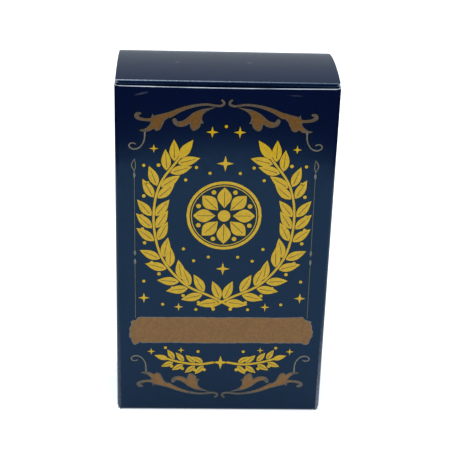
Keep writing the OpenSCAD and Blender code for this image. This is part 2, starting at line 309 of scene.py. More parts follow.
def board(node, body, outer, inner,
          keep=lambda r, c: True, worn_and_highlight=lambda r, c: 0.0, bared=lambda r, c: False):
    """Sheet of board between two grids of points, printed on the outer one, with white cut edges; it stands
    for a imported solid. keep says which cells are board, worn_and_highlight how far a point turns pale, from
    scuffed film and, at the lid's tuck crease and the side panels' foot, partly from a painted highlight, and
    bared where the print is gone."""
    cells = [(r, c) for r in range(len(outer) - 1) for c in range(len(outer[0]) - 1) if keep(r, c)]
    mesh = bmesh.new()
    wear_and_highlight = mesh.verts.layers.float.new("wear_and_highlight")
    skins = []
    for grid in (outer, inner):
        points = {}
        for r, c in cells:
            for key in ((r, c), (r, c + 1), (r + 1, c + 1), (r + 1, c)):
                if key not in points:
                    points[key] = mesh.verts.new(Vector(grid[key[0]][key[1]]) * MM)
                    points[key][wear_and_highlight] = worn_and_highlight(*key)
        skins.append(points)
    there = set(cells)
    for r, c in cells:
        ring = [(r, c), (r, c + 1), (r + 1, c + 1), (r + 1, c)]
        for points, finish in zip(skins, (CUT if bared(r, c) else PRINTED, BARE)):
            face = mesh.faces.new([points[key] for key in ring])
            face.material_index = finish
            face.smooth = True
        beside = [(r - 1, c), (r, c + 1), (r + 1, c), (r, c - 1)]
        for start, end, neighbour in zip(ring, ring[1:] + ring[:1], beside):
            if neighbour not in there:
                face = mesh.faces.new([skins[0][start], skins[0][end], skins[1][end], skins[1][start]])
                face.material_index = CUT
                for points in skins:
                    mesh.edges.get((points[start], points[end])).smooth = False
    bmesh.ops.recalc_face_normals(mesh, faces=mesh.faces)
    piece = add_piece(node + "_board", body, mesh, BOARD_FINISHES)
    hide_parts(node)
    return piece


def bulge(x, up):
    """How far a panel bows out at a free edge, up from its folded end (0) to that edge (1)."""
    over = min(max((x + FLAT_W / 2) / FLAT_W, 0), 1)
    return PANEL_BOW * math.sin(math.pi * over) * max(up, 0) ** 2


def front_face_y(x, z):
    """Outer face of the front panel, which bows out towards its free top edge."""
    return -BOX_D / 2 - bulge(x, (z - CREASE_R) / (FRONT_H - CREASE_R))


def back_face_y(x, z):
    """Outer face of the back panel, which bows out towards its free bottom edge."""
    return BOX_D / 2 + bulge(x, 1 - z / BACK_CREASE.y)


def arc(centre, radius, start, end):
    """Points of an arc in a plane, angles in degrees."""
    return [Vector(centre) + radius * toward(a) for a in spread(start, end, ARC_STEPS)]


def front_panel():
    """Front panel from the crease at its foot to its bowed top edge, where the cut shows white."""
    crease_centre = (-FOLD_Y, CREASE_R)
    bared_z = FRONT_H - BARED_EDGE
    heights = spread(CREASE_R, bared_z - LAST_PRINT_ROW, PANEL_ROWS)[1:] + [bared_z, FRONT_H]
    xs = spread(-FLAT_W / 2, FLAT_W / 2, PANEL_COLUMNS)
    outer = [[(x, y, z) for x in xs] for y, z in arc(crease_centre, CREASE_R, 270, 180)]
    inner = [[(x, y, z) for x in xs] for y, z in arc(crease_centre, CREASE_R - BOARD_T, 270, 180)]
    for z in heights:
        lean = BARED_LEAN if z == FRONT_H else 0
        outer.append([(x, front_face_y(x, z) + lean, z) for x in xs])
        inner.append([(x, front_face_y(x, z) + BOARD_T, z) for x in xs])
    top = len(outer) - 2
    board("front_panel", "carton", outer, inner, bared=lambda r, c: r == top)


def back_panel():
    """Back panel from its bowed bottom edge to the lid's crease; its left edge turns to the glue flap."""
    left = -BOX_W / 2 + BOARD_T + CORNER_R
    turn_centre = (left, BOX_D / 2 - CORNER_R)
    xs = spread(left, FLAT_W / 2, PANEL_COLUMNS)[1:]
    heights = spread(0, BACK_CREASE.y, PANEL_ROWS)
    ends = (0, 90 - LID_BACK_SLOPE)

    def skin(inset):
        turned = arc(turn_centre, CORNER_R - inset, 180, 90)
        rows = []
        for z in heights:
            flat = [(x, back_face_y(x, z) - inset, z) for x in xs]
            rows.append([(x, y, z) for x, y in turned] + flat)
        for y, z in arc(BACK_CREASE, CREASE_R - inset, *ends)[1:]:
            rows.append([(left, y, z)] * (ARC_STEPS + 1) + [(x, y, z) for x in xs])
        return rows

    board("back_panel", "carton", skin(0), skin(BOARD_T),
          keep=lambda r, c: r < PANEL_ROWS or c >= ARC_STEPS,
          worn_and_highlight=lambda r, c: BACK_CREASE_WEAR * (r in (PANEL_ROWS + 1, PANEL_ROWS + 2)))


def side_panel(name, side, back_crease, foot_wear_and_highlight):
    """Side panel with the upright creases at its ends and the creases of its two dust flaps; side is 1 or -1,
    and foot_wear_and_highlight says how pale the front crease turns at its foot, partly from scuffed film and
    partly as a painted highlight."""
    flap_low, flap_high = box_mm(f"top_dust_flap_{name}")
    top_flap = (flap_low.y, flap_high.y)
    bottom_flap = (-flap_high.y, -flap_low.y)
    wall_front = -BOX_D / 2 + CORNER_R
    wall_back = BOX_D / 2 - CORNER_R if back_crease else LEFT_WALL_BACK_Y
    between = spread(-WALL_REACH, WALL_REACH, WALL_COLUMNS)
    wall_ys = sorted({wall_front, wall_back, *top_flap, *bottom_flap, *between})
    low, high = WALL_LOW_Z, WALL_HIGH_Z
    rise = spread(0, 1, WALL_END_ROWS)

    def foot(x):
        """Height at which an upright crease's clipped foot starts."""
        clip = (x - BOX_W / 2 + FOOT_CLIP_W) * FOOT_CLIP_H / FOOT_CLIP_W
        return min(max(clip, 0), low - FOOT_LEFT)

    def skin(inset):
        r = CORNER_R - inset
        front = arc((FLAT_W / 2, wall_front), r, 270, 360)
        back = arc((FLAT_W / 2, wall_back), r, 0, 90) if back_crease else []
        posts = [(p, FRONT_H) for p in front] + [(p, BACK_CREASE.y) for p in back]
        wall = [y for y in wall_ys if wall_front < y < wall_back or (y == wall_back and not back_crease)]

        def row(kind, share):
            """One row of points round the panel: kind is foot, wall or head, and share how far up it is."""
            line = []
            for index, (p, top) in enumerate(posts):
                if index == len(front):
                    line += wall_row(kind, share)
                z = share
                if kind == "foot":
                    z = foot(p.x) + share * (low - foot(p.x))
                elif kind == "head":
                    z = high + share * (top - high)
                line.append((side * p.x, p.y, z))
            return line if back_crease else line + wall_row(kind, share)

        def wall_row(kind, share):
            """The row's points on the wall, which turns in to a dust flap at the foot and the head."""
            bend = CREASE_R - inset
            a = 90 * (share if kind == "head" else 1 - share)
            x, z = BOX_W / 2 - inset, share
            if kind != "wall":
                x = SIDE_FOLD_X + bend * math.cos(math.radians(a))
                rise_z = bend * math.sin(math.radians(a))
                z = high + rise_z if kind == "head" else low - rise_z
            return [(side * x, y, z) for y in wall]

        rows = [row("foot", s) for s in rise[:-1]]
        rows += [row("wall", z) for z in spread(low, high, PANEL_ROWS)]
        rows += [row("head", s) for s in rise[1:]]
        return rows, [p.y for p in front] + wall

    outer, ys = skin(0)
    inner, _ = skin(BOARD_T)
    last_front = ARC_STEPS
    first_back = len(outer[0]) - 1 - (ARC_STEPS if back_crease else 0)

    def keep(r, c):
        is_foot, is_head = r < WALL_END_ROWS, r >= WALL_END_ROWS + PANEL_ROWS
        if not (is_foot or is_head) or c < last_front or (back_crease and c >= first_back):
            return True
        if c + 1 >= len(ys):
            return False
        start, end = top_flap if is_head else bottom_flap
        return start - SAME_PLACE <= ys[c] and ys[c + 1] <= end + SAME_PLACE

    # Pale line up the front crease from the foot: partly scuffed film, partly a painted highlight
    def worn_and_highlight(r, c):
        low_share = max(1 - r / (FOOT_WEAR_AND_HIGHLIGHT_REACH * len(outer)), 0)
        return foot_wear_and_highlight * low_share * (0 < c < ARC_STEPS)

    board(f"{name}_side_panel", "carton", outer, inner, keep=keep, worn_and_highlight=worn_and_highlight)


def glue_flap():
    """Flap of the back panel, glued inside the left side panel; its ends slope."""
    root_y = BOX_D / 2 - CORNER_R
    x = -BOX_W / 2 + BOARD_T
    drop = math.tan(math.radians(GLUE_SLOPE))
    outer = []
    for reach in spread(0, GLUE_W, GLUE_ROWS):
        low, high = WALL_LOW_Z + reach * drop, WALL_HIGH_Z - reach * drop
        outer.append([(x, root_y - reach, z) for z in spread(low, high, GLUE_COLUMNS)])
    inner = [[(x + BOARD_T, y, z) for x, y, z in row] for row in outer]
    board("glue_flap", "carton", outer, inner)


def lid_panel():
    """Bowed lid from its back crease to the crease of its tuck flap, which is narrower."""
    fold = joint_at["lid_tuck_fold"].yz
    crease = fold - (TUCK_CREASE_R - BOARD_T) * toward(180 + TUCK_LEAN)
    front_edge = crease + TUCK_CREASE_R * toward(90 + LID_FRONT_SLOPE)
    turn = LID_BACK_SLOPE + LID_FRONT_SLOPE
    radius = (front_edge - lid_hinge).length / (2 * math.sin(math.radians(turn / 2)))
    centre = lid_hinge - radius * toward(90 - LID_BACK_SLOPE)
    inner_xs = spread(-TUCK_W / 2, TUCK_W / 2, PANEL_COLUMNS)
    start, end = 90 - LID_BACK_SLOPE, 90 + LID_FRONT_SLOPE
    lid_angles = [start, start + LID_CLIP_TURN, *spread(LID_THIRD_ROW, end, LID_ROWS)]
    crease_angles = spread(end, 180 + TUCK_LEAN, ARC_STEPS)[1:]
    crease_halves = spread(LID_W / 2, TUCK_W / 2, ARC_STEPS)[1:]

    def skin(inset):
        rows = []
        for a in lid_angles:
            y, z = centre + (radius - inset) * toward(a)
            half = min(LID_W / 2, LID_W / 2 - LID_CORNER_CLIP + math.radians(a - start) * radius)
            rows.append([(x, y, z) for x in (-half, *inner_xs, half)])
        for a, half in zip(crease_angles, crease_halves):
            y, z = crease + (TUCK_CREASE_R - inset) * toward(a)
            rows.append([(x, y, z) for x in (-half, *inner_xs, half)])
        return rows

    # The ends of the tuck crease taper to ears, which stop two rows above the flap
    lid_rows = len(lid_angles) - 1
    ear_rows = lid_rows + ARC_STEPS - 2

    # Pale line along the tuck crease, stronger to the left: partly scuffed film, partly a painted highlight
    def worn_and_highlight(r, c):
        left_share = 1 - c / (PANEL_COLUMNS + 2)
        rubbed_and_highlight = LID_CREASE_WEAR_AND_HIGHLIGHT + LID_LEFT_WEAR_AND_HIGHLIGHT * left_share**LID_WEAR_AND_HIGHLIGHT_FALL
        return rubbed_and_highlight * (r in (lid_rows + 1, lid_rows + 2))

    board("lid_panel", "lid", skin(0), skin(BOARD_T),
          keep=lambda r, c: r < ear_rows or 0 < c <= PANEL_COLUMNS, worn_and_highlight=worn_and_highlight)


def base_panel():
    """Flat base from its front crease to the crease of its tuck flap."""
    fold = joint_at["base_tuck_fold"].yz
    crease = fold - (TUCK_CREASE_R - BOARD_T) * toward(TUCK_LEAN)
    xs = (-LID_W / 2, *spread(-TUCK_W / 2, TUCK_W / 2, PANEL_COLUMNS), LID_W / 2)
    ys = spread(-FOLD_Y + HINGE_GAP, crease.x, BASE_ROWS)

    def skin(inset):
        rows = [[(x, y, inset) for x in xs] for y in ys]
        for y, z in arc(crease, TUCK_CREASE_R - inset, 270, 360 + TUCK_LEAN)[1:]:
            rows.append([(x, y, z) for x in xs])
        return rows

    board("base_panel", "base", skin(0), skin(BOARD_T),
          keep=lambda r, c: r < BASE_ROWS or 0 < c <= PANEL_COLUMNS)


def tuck_flap(node, body, root, run_angle):
    """Tuck flap from its crease to its rounded free corners; run_angle is its way in the Y-Z plane."""
    run, inward = toward(run_angle), toward(run_angle + 90)
    straight = TUCK_LEN - TUCK_CORNER_R
    reaches = spread(0, straight, TUCK_ROWS)[:-1]
    for a in spread(0, 90, TUCK_CORNER_ROWS):
        reaches.append(straight + TUCK_CORNER_R * math.sin(math.radians(a)))

    def half_width(reach):
        past = min(max(reach - straight, 0), TUCK_CORNER_R)
        return TUCK_W / 2 - TUCK_CORNER_R + math.sqrt(TUCK_CORNER_R**2 - past**2)

    def skin(inset):
        rows = []
        for reach in reaches:
            y, z = root + reach * run + inset * inward
            half = half_width(reach)
            rows.append([(x, y, z) for x in spread(-half, half, PANEL_COLUMNS)])
        return rows

    board(node, body, skin(0), skin(BOARD_T))


def tuck_flaps():
    """The lid's tuck flap goes down behind the front panel, the base's up in front of the back panel."""
    for node, body, fold, way, run in (
        ("lid_tuck_flap", "lid_tuck", "lid_tuck_fold", 180 + TUCK_LEAN, TUCK_LEAN - 90),
        ("base_tuck_flap", "base_tuck", "base_tuck_fold", TUCK_LEAN, TUCK_LEAN + 90),
    ):
        tuck_flap(node, body, joint_at[fold].yz + BOARD_T * toward(way), run)


def dust_flap(node, body, side, outer_z, inner_z, turned):
    """Dust flap from its crease to its free edge, with sloped sides and clipped corners; turned says that
    it lies end for end."""
    low, high = box_mm(node)
    near, far = (-low.y, -high.y) if turned else (high.y, low.y)
    length = high.x - low.x
    hinge_clip, tuck_clip = [length - DUST_CORNER_CUT * math.cos(math.radians(slope))
                             for slope in (DUST_HINGE_SLOPE, DUST_TUCK_SLOPE)]
    sides = ((hinge_clip, near, math.tan(math.radians(DUST_HINGE_SLOPE)), -1),
             (tuck_clip, far, math.tan(math.radians(DUST_TUCK_SLOPE)), 1))
    reaches = sorted({*spread(0, tuck_clip, DUST_ROWS), hinge_clip, length})

    def ends(reach):
        """The flap's two sides at a distance from the crease."""
        limits = []
        for clip, edge, slope, way in sides:
            limit = edge + way * slope * reach
            if reach > clip:
                at_clip = edge + way * slope * clip
                at_end = edge + way * (slope * length + DUST_CORNER_CUT)
                limit = at_clip + (reach - clip) / (length - clip) * (at_end - at_clip)
            limits.append(limit)
        return limits

    def skin(z):
        flip = -1 if turned else 1
        rows = []
        for reach in reaches:
            x = side * (SIDE_FOLD_X - reach)
            rows.append([(x, flip * y, z) for y in spread(*ends(reach), DUST_COLUMNS)])
        return rows

    board(node, body, skin(outer_z), skin(inner_z))


def dust_flaps():
    """Two dust flaps at the top and two at the bottom, turned end for end."""
    for name, side in (("left", -1), ("right", 1)):
        dust_flap(f"top_dust_flap_{name}", f"top_dust_{name}", side,
                  DUST_TOP_Z, DUST_TOP_Z - BOARD_T, turned=False)
        dust_flap(f"bottom_dust_flap_{name}", f"bottom_dust_{name}", side,
                  DUST_LOW_Z, DUST_LOW_Z + BOARD_T, turned=True)


front_panel()
back_panel()
side_panel("left", -1, back_crease=False, foot_wear_and_highlight=LEFT_FOOT_WEAR_AND_HIGHLIGHT)
side_panel("right", 1, back_crease=True, foot_wear_and_highlight=RIGHT_FOOT_WEAR_AND_HIGHLIGHT)
glue_flap()
lid_panel()
base_panel()
tuck_flaps()
dust_flaps()


# Print on the front and back panels, drawn in millimetres across (x) and up (z) the panel. Real ink is
# thinner: this thickness keeps each ink clear of the one below it, and shapes of one ink that overlap lie a
# step apart.
INK_T, INK_SUNK = 0.012, 0.006
INK_STEP, INK_STEPS = 0.0015, 6
PRINT_TILT = 0.3
# Cutting grid of the print; its shift keeps the cuts of an outline clear of those of its mirror image
CUT_X, CUT_Z, CUT_SHIFT, CUT_DEPTH = 3.0, 12.0, 0.3, 1e-5
INSIDE_ONLY, TRIANGLE_GAP = 1, 1e-4
TOUCH_GAP = 0.01
CURVE_STEPS, LEAF_STEPS = 6, 10
CAP_TURNS = (60, 30, 0, -30, -60)
KEYLINE = 0.3
BAND_RIM = 0.24
HEART_GROWTH = 0.12

# Inks: opaque line colours with a fine mottle, and a black keyline that sets them off from the navy. The
# numbers are the mottle's size in millimetres and its share of the darker tone.
YELLOW = laminated_print("yellow_offset_ink", "#bb950a", "#ab8808", 1.2, 0.8)
BRONZE = laminated_print("bronze_brown_offset_ink", "#7a5423", "#63421a", 0.9, 0.6)
# The darker bronze is the bronze ink again with painted shade, for the hearts of the top scrolls, high on the
# panel where less light falls
BRONZE_WITH_PAINTED_SHADE = laminated_print("bronze_brown_painted_shade_offset_ink", "#68471f", "#543718", 0.9, 0.6)
SCROLL_INK = laminated_print("grey_brown_offset_ink", "#574c43", "#493e34", 0.9, 0.8)
FINE_LINE = laminated_print("grey_brown_fine_line_ink", "#6a655f", "#5b534b", 0.9, 0.8)
KEY_INK = laminated_print("black_keyline_ink", "#0a0d14", "#070a10", 1.2, 0.5)


def curve(points, closed=False):
    """Smooth line through points, which may carry a width as a third value."""
    points = [Vector(p) for p in points]
    count = len(points)
    line = []
    for k in range(count if closed else count - 1):
        if closed:
            a, b, c, d = (points[(k + i) % count] for i in (-1, 0, 1, 2))
        else:
            b, c = points[k], points[k + 1]
            a = points[k - 1] if k else 2 * b - c
            d = points[k + 2] if k + 2 < count else 2 * c - b
        for t in (i / CURVE_STEPS for i in range(CURVE_STEPS)):
            line.append(0.5 * (2 * b + (c - a) * t + (2 * a - 5 * b + 4 * c - d) * t**2
                               + (3 * b - a - 3 * c + d) * t**3))
    return line if closed else line + [points[-1]]


def stroke(points):
    """Outline of a pen stroke through (x, z, half width) points, with round ends."""
    line = curve(points)
    left, right, ends = [], [], []
    for k, p in enumerate(line):
        run = (line[min(k + 1, len(line) - 1)] - line[max(k - 1, 0)]).xy.normalized()
        across = Vector((-run.y, run.x)) * p.z
        left.append(p.xy + across)
        right.append(p.xy - across)
        ends.append((p, run))
    caps = []
    for (p, run), way in ((ends[-1], 0), (ends[0], 180)):
        turn = math.degrees(math.atan2(run.y, run.x)) + way
        caps.append([p.xy + p.z * toward(turn + a) for a in CAP_TURNS])
    return left + caps[0] + right[::-1] + caps[1]


def leaf(root, tip, width, fullest=0.8):
    """Outline of a pointed leaf from its root to its tip."""
    root, tip = Vector(root), Vector(tip)
    across = Vector((root.y - tip.y, tip.x - root.x)).normalized() * width / 2
    shares = spread(0, 1, LEAF_STEPS)
    left = [root.lerp(tip, t) + across * math.sin(math.pi * t**fullest) for t in shares]
    right = [root.lerp(tip, t) - across * math.sin(math.pi * t**fullest) for t in shares[1:-1]]
    return left + right[::-1]


def disc(centre, radius, steps=32):
    """Outline of a round dot."""
    return [Vector(centre) + radius * toward(360 * k / steps) for k in range(steps)]


def star(centre, radius, waist):
    """Outline of a star with a narrow waist between its points."""
    return [Vector(centre) + (waist if k % 2 else radius) * toward(90 + 180 * k / STAR_POINTS)
            for k in range(2 * STAR_POINTS)]


def grown(outline, by):
    """Outline moved outwards, or inwards where by is negative."""
    count = len(outline)
    area = sum(outline[k - 1].cross(outline[k]) for k in range(count))
    out = by if area > 0 else -by
    moved = []
    for k, p in enumerate(outline):
        run = (outline[(k + 1) % count] - outline[k - 1]).normalized()
        moved.append(p + Vector((run.y, -run.x)) * out)
    return moved


def mirrored(outlines):
    """The same outlines and their mirror images across the panel's middle."""
    return outlines + [[Vector((-p.x, p.y)) for p in outline] for outline in outlines]


def pieces_of(outline):
    """Triangles of a flat outline, cut along a grid so that they can follow a bowed panel, and parted where
    the outline touches itself at a point."""
    count = len(outline)
    sides = [(k, (k + 1) % count) for k in range(count)]
    points, _, triangles, *_ = delaunay_2d_cdt(outline, sides, [], INSIDE_ONLY, TRIANGLE_GAP)
    flat = bmesh.new()
    corners = [flat.verts.new((p.x, p.y, 0)) for p in points]
    for triangle in triangles:
        flat.faces.new([corners[k] for k in triangle])
    bmesh.ops.delete(flat, geom=[v for v in corners if not v.link_faces], context="VERTS")
    for axis, pitch in ((0, CUT_X), (1, CUT_Z)):
        reach = [v.co[axis] / pitch - CUT_SHIFT for v in flat.verts]
        normal = Vector((1, 0, 0)) if axis == 0 else Vector((0, 1, 0))
        for k in range(math.ceil(min(reach)), math.floor(max(reach)) + 1):
            everything = [*flat.verts, *flat.edges, *flat.faces]
            cut = normal * (k + CUT_SHIFT) * pitch
            bmesh.ops.bisect_plane(flat, geom=everything, plane_co=cut, plane_no=normal, dist=CUT_DEPTH)
    bmesh.ops.remove_doubles(flat, verts=flat.verts, dist=SAME_PLACE)
    for corner in list(flat.verts):
        rims = [edge for edge in corner.link_edges if edge.is_boundary]
        if len(rims) > 2:
            for part in bmesh.utils.vert_separate(corner, rims):
                middles = [face.calc_center_median() for face in part.link_faces]
                inward = sum(middles, Vector()) / len(middles) - part.co
                part.co += inward.normalized() * TOUCH_GAP
    flat.verts.index_update()
    return flat


def film(name, outlines, ink, face_y, outward, layer):
    """Ink lying on a panel: every outline is a thin closed skin that follows the panel's face; layer says
    how many inks lie under it."""
    mesh = bmesh.new()
    tilt = toward(PRINT_TILT)
    for index, outline in enumerate(outlines):
        flat = pieces_of(outline)
        skins = []
        for height in ((layer + 1) * INK_T + INK_STEP * (index % INK_STEPS), -INK_SUNK):
            points = {}
            for v in flat.verts:
                up = v.co.y - FRONT_H / 2
                x = tilt.x * v.co.x - tilt.y * up
                z = FRONT_H / 2 + tilt.y * v.co.x + tilt.x * up
                points[v.index] = mesh.verts.new(Vector((x, face_y(x, z) + outward * height, z)) * MM)
            skins.append(points)
        for face in flat.faces:
            for points in skins:
                mesh.faces.new([points[v.index] for v in face.verts]).smooth = True
        top, sunk = skins
        for edge in flat.edges:
            if len(edge.link_faces) == 1:
                a, b = (v.index for v in edge.verts)
                mesh.faces.new([top[a], top[b], sunk[b], sunk[a]])
                for points in skins:
                    mesh.edges.get((points[a], points[b])).smooth = False
        flat.free()
    bmesh.ops.recalc_face_normals(mesh, faces=mesh.faces)
    piece = add_piece(name, "carton", mesh, [ink])
    return piece


# Left half of a scroll: across the panel, drop from the middle curl's tip, and half width of a stroke
SCROLL_STEM = [(-18.4, 5.4, 1.0), (-15.2, 3.7, 0.72), (-12.0, 2.5, 0.54), (-8.8, 1.8, 0.43),
               (-6.3, 1.6, 0.38), (-4.0, 1.9, 0.37), (-2.4, 2.05, 0.38), (-1.3, 1.75, 0.4),
               (-0.9, 1.15, 0.42), (-1.15, 0.5, 0.4), (-1.6, 0.1, 0.34)]
OUTER_CURL = [(-22.5, 7.0, 0.9), (-25.6, 7.2, 0.5), (-28.0, 6.8, 0.58), (-29.1, 6.0, 0.7),
              (-28.8, 5.2, 0.6), (-27.9, 5.0, 0.4)]
TENDRIL_ROOT = (-26.4, 11.0, 0.3)
TENDRIL = [(-26.5, 13.4, 0.22), (-27.0, 15.2, 0.2), (-28.2, 16.8, 0.22), (-29.8, 17.4, 0.25),
           (-31.1, 17.0, 0.22), (-31.6, 16.2, 0.22), (-31.2, 15.5, 0.22), (-30.3, 15.25, 0.2),
           (-29.4, 15.6, 0.18)]
CUP_LEAF = [(-24.0, 6.0), (-24.3, 7.4), (-24.9, 8.9), (-26.3, 10.2), (-28.2, 10.8), (-26.7, 11.3),
            (-24.8, 11.0), (-23.7, 10.3), (-22.6, 10.9), (-21.4, 10.4), (-20.6, 8.8), (-19.8, 7.2),
            (-17.9, 5.6), (-17.7, 4.2), (-21.2, 5.1)]
FROND = [(-3.6, 2.5), (-6.2, 2.9), (-8.3, 3.3), (-10.9, 4.6), (-12.6, 6.1), (-14.1, 7.2), (-15.7, 7.5),
         (-16.2, 6.8), (-16.9, 6.4), (-17.5, 7.0), (-17.2, 8.2), (-16.2, 9.1), (-14.7, 9.4), (-13.0, 9.0),
         (-12.0, 8.3), (-11.5, 9.9), (-10.6, 10.7), (-9.3, 10.1), (-8.5, 9.1), (-8.3, 8.2), (-7.4, 8.0),
         (-7.9, 6.9), (-7.7, 5.2), (-6.1, 3.7)]
SPUR = [(-24.3, 6.4), (-23.9, 5.0), (-23.3, 6.0)]
STEM_HEART = [(-18.4, 5.4, 0.72), (-15.6, 3.9, 0.4), (-11.5, 2.35, 0.12)]
CURL_HEART = [(-22.9, 6.95, 0.5), (-25.4, 7.15, 0.2), (-27.5, 6.9, 0.14)]
CUP_HEART = [(-23.4, 6.3), (-23.8, 7.6), (-24.3, 9.0), (-25.6, 10.4), (-24.6, 10.4), (-23.6, 9.7),
             (-22.6, 10.3), (-21.7, 9.9), (-21.1, 8.6), (-20.3, 6.9), (-18.6, 5.4), (-18.4, 4.8),
             (-21.0, 5.6)]
FROND_HEART = [(-7.4, 3.9), (-8.8, 4.0), (-10.8, 5.1), (-12.4, 6.6), (-14.0, 7.7), (-15.6, 8.1),
               (-15.9, 8.4), (-14.6, 8.8), (-13.2, 8.4), (-11.9, 7.5), (-11.2, 8.2), (-11.0, 9.6),
               (-10.5, 10.1), (-9.7, 9.6), (-9.0, 8.7), (-8.5, 7.4), (-8.4, 6.6), (-8.2, 5.1)]


def scroll_half(datum, scale, longer):
    """Left half of a scroll border: the outlines of the scroll, of its tendril, and of the hearts of its
    stem and leaves. datum is the height of the middle curl's tip, scale is negative where the border hangs
    upside down, and longer is how much further the tendril reaches."""

    def place(x, drop):
        return Vector((x, datum - scale * drop))

    def drawn(line):
        return stroke([(*place(x, drop), half_width) for x, drop, half_width in line])

    def filled(shape):
        return curve([place(*p) for p in shape], closed=True)

    tendril = [TENDRIL_ROOT] + [(x, drop + longer, half_width) for x, drop, half_width in TENDRIL]
    scroll = [drawn(SCROLL_STEM), drawn(OUTER_CURL), filled(CUP_LEAF), filled(FROND)]
    scroll.append([place(*p) for p in SPUR])
    hearts = [drawn(STEM_HEART), drawn(CURL_HEART)]
    hearts += [grown(filled(shape), HEART_GROWTH) for shape in (CUP_HEART, FROND_HEART)]
    return scroll, [drawn(tendril)], hearts


# Datum, scale and longer tendril of the two borders, and the rules that join them
TOP_SCROLL, FOOT_SCROLL = (118.6, 1.0, 0.0), (5.4, -0.95, 0.8)
RULE_X, RULE_W = 29.95, 0.135
RULE_RUNS = ((38.0, 60.0), (63.4, 93.4))
RULE_BEADS, BEAD_HALF_H, BEAD_W = (92.0, 63.4, 60.0), 1.2, 0.8
BUD_STRANDS = [[(0, 0, 0.1), (-0.85, 1.9, 0.17), (-0.5, 3.3, 0.14), (0.2, 4.3, 0.09)],
               [(0, 0, 0.1), (0.4, 1.7, 0.13), (0.2, 4.3, 0.09)]]


def scroll_border():
    """Two pairs of scrolls, the thin lines between them, and the scrolls' warmer hearts at the top and the
    foot. The lines are the tendrils and the beaded rules with a bud on top."""
    top, top_line, top_hearts = scroll_half(*TOP_SCROLL)
    foot, foot_line, foot_hearts = scroll_half(*FOOT_SCROLL)
    rules = [stroke([(-RULE_X, z, RULE_W / 2) for z in run]) for run in RULE_RUNS]
    beads = [leaf((-RULE_X, z - BEAD_HALF_H), (-RULE_X, z + BEAD_HALF_H), BEAD_W, fullest=1.0)
             for z in RULE_BEADS]
    bud_z = RULE_RUNS[-1][1]
    bud = [stroke([(x - RULE_X, bud_z + rise, w) for x, rise, w in strand]) for strand in BUD_STRANDS]
    fine = top_line + foot_line + rules + beads + bud
    return [mirrored(outlines) for outlines in (top + foot, fine, top_hearts, foot_hearts)]


# Band: its two hand-drawn ends, its long edges as first x, last x and height, and how rough they are
BAND_LEFT = [(-27.6, 28.0), (-28.6, 28.2), (-29.4, 27.6), (-30.4, 27.2), (-31.2, 28.2), (-31.5, 29.5),
             (-32.2, 30.5), (-31.9, 32.3), (-32.1, 33.9), (-31.5, 34.9), (-31.6, 36.3), (-30.7, 37.1),
             (-29.8, 37.2), (-29.2, 38.3)]
BAND_RIGHT = [(28.4, 38.6), (29.6, 37.3), (31.1, 37.0), (31.6, 35.4), (32.3, 31.6), (31.5, 29.7),
              (30.9, 27.7), (29.0, 27.6), (28.5, 28.2)]
BAND_TOP, BAND_FOOT, BAND_STEPS = (-27.5, 26.5, 38.4), (27.0, -26.5, 28.0), 36
BAND_ROUGH_X, BAND_ROUGH_Z, BAND_SEED = 0.2, 0.12, 7


def banner():
    """Bare brush-edged band across the panel: hand-drawn ends, slightly uneven long edges."""
    rng = random.Random(BAND_SEED)

    def rough(x, z):
        shift_x = rng.uniform(-BAND_ROUGH_X, BAND_ROUGH_X)
        shift_z = rng.uniform(-BAND_ROUGH_Z, BAND_ROUGH_Z)
        return Vector((x + shift_x, z + shift_z))

    left, right = [[rough(*p) for p in curve(end)] for end in (BAND_LEFT, BAND_RIGHT)]
    top, foot = [[rough(x, z) for x in spread(first, last, BAND_STEPS)]
                 for first, last, z in (BAND_TOP, BAND_FOOT)]
    outline = left + top + right + foot
    return outline, grown(outline, -BAND_RIM)


# Medallion: reaches are from its middle; rings are inset from its rim, with a half width
MEDAL, MEDAL_R = Vector((0, 77.5)), 12.6
MEDAL_RINGS, RING_STEPS = ((0.5, 0.5), (1.6, 0.14)), 12
MEDAL_HEART_R = 2.1
PETALS, PETAL_ROOT, PETAL_TIP, PETAL_W, PETAL_FULLEST = 8, 2.9, 10.4, 4.8, 1.1
PETAL_RIB = ((3.6, 0.1), (9.0, 0.07))
PEARL_REACH, PEARL_R, PEARL_STEPS = 9.3, 0.8, 16


def rosette():
    """Middle of the medallion: eight petals, pearls between them, a round heart, and the petals' ribs."""
    petals, pearls, ribs = [], [], []
    for k in range(PETALS):
        out = toward(90 + 360 * k / PETALS)
        between = toward(90 + 360 * (k + 0.5) / PETALS)
        petals.append(leaf(MEDAL + PETAL_ROOT * out, MEDAL + PETAL_TIP * out, PETAL_W, PETAL_FULLEST))
        pearls.append(disc(MEDAL + PEARL_REACH * between, PEARL_R, PEARL_STEPS))
        ribs.append(stroke([(*(MEDAL + reach * out), half_width) for reach, half_width in PETAL_RIB]))
    return petals + pearls + [disc(MEDAL, MEDAL_HEART_R)], ribs


def ring(centre, radius, half_width):
    """Two half rings whose round ends lie over each other."""
    halves = [spread(start, start + 180, RING_STEPS) for start in (0, 180)]
    return [stroke([(*(centre + radius * toward(a)), half_width) for a in turns]) for turns in halves]


# Laurel: where a leaf starts along and beside the twig, its rib as shares of its length with half widths,
# and the berries, whose reach is a share of a leaf's length
TWIG_HALF_W, TWIG_TAPER = 0.42, 0.6
FIRST_LEAF, LEAF_SET_OFF, TIP_LEAF_OVERLAP = 0.8, 0.7, 0.5
LEAF_RIB = ((0.15, 0.1), (0.8, 0.06))
BERRY_REACH, BERRY_R, BERRY_STEPS = 0.52, 0.62, 14


